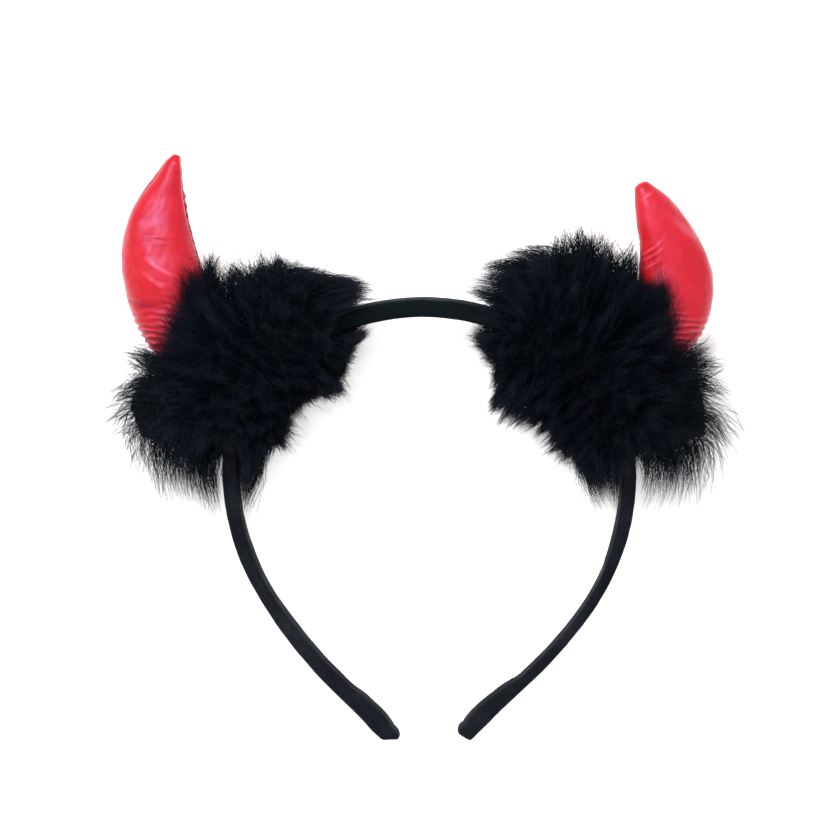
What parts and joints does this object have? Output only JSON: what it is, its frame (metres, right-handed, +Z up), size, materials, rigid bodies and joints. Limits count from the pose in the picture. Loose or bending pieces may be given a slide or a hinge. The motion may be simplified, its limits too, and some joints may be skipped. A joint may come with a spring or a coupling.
{
  "type": "devil horns headband",
  "caption": "Satin-covered headband with stuffed curved horns and fluffy fur collars at their feet, lying on its side",
  "frame": {"origin": "bottom centre of the bounding box, on the floor that the headband lies on", "axes": "+Z up from the floor, +X across the headband towards the viewer's right, +Y from the band's tips towards its crown and horns"},
  "size_m": [0.1996, 0.188, 0.0454],
  "materials": {
    "band_satin": "black satin ribbon over a hard band",
    "horn_satin": "glossy red satin, stuffed",
    "horn_satin_right": "glossy red satin, stuffed",
    "fur": "soft black marabou-like fur",
    "fur_right": "soft black marabou-like fur"
  },
  "bodies": {
    "root": {"band": "band_satin", "horn_left": "horn_satin", "horn_right": "horn_satin_right", "fur_left": "fur", "fur_right": "fur_right"}
  },
  "joints": []
}
